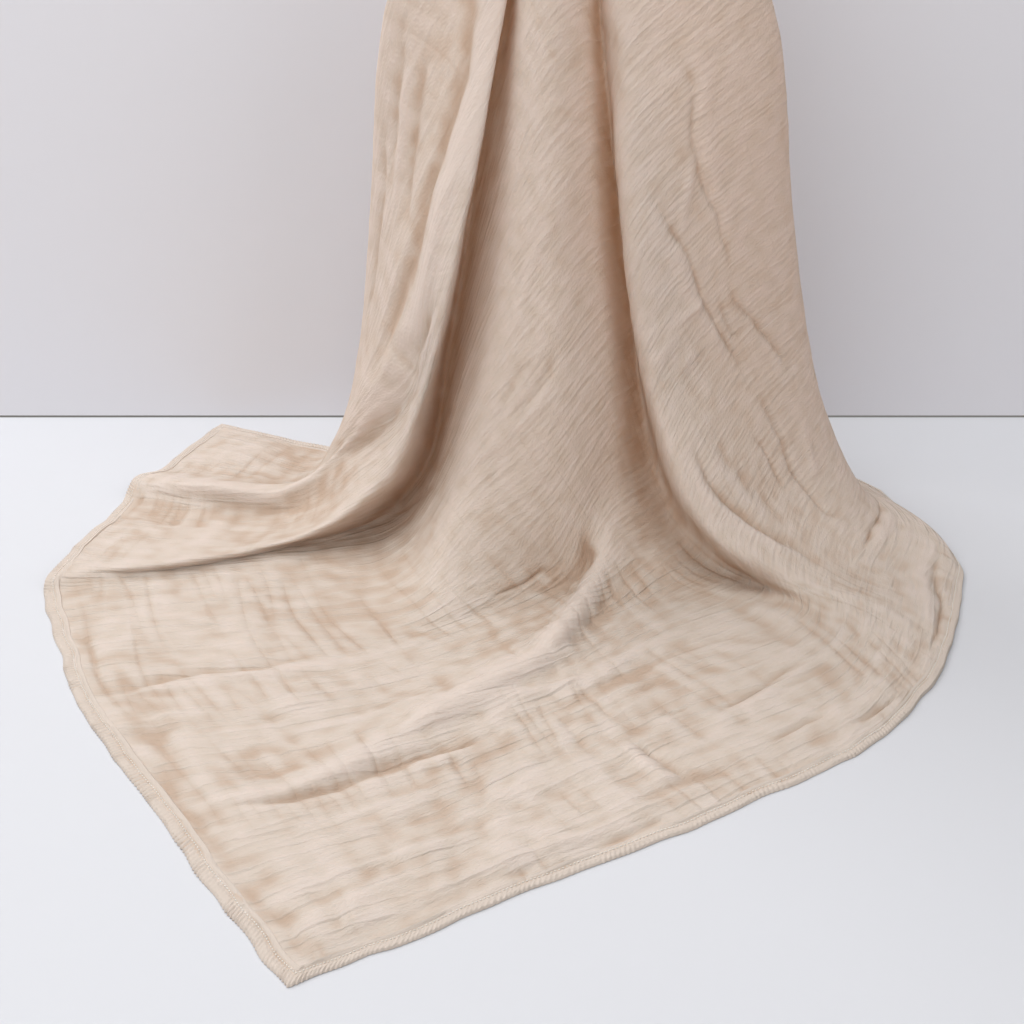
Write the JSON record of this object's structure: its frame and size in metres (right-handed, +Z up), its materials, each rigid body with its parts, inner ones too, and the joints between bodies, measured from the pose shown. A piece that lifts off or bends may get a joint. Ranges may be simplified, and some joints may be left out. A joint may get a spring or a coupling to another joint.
{
  "type": "hanging muslin swaddle blanket",
  "caption": "Square muslin swaddle blanket hung by a corner, falling in forward folds and spreading over the floor.",
  "frame": {"origin": "the held corner of the cloth, its highest point", "axes": "+Z up, -Y towards the front, where the cloth runs out over the floor, +X to the right seen from the front"},
  "size_m": [1.013, 1.095, 0.9615],
  "materials": {
    "muslin": "sand-coloured crinkled double cotton gauze, matt"
  },
  "bodies": {
    "root": {"blanket": "muslin"}
  },
  "joints": []
}
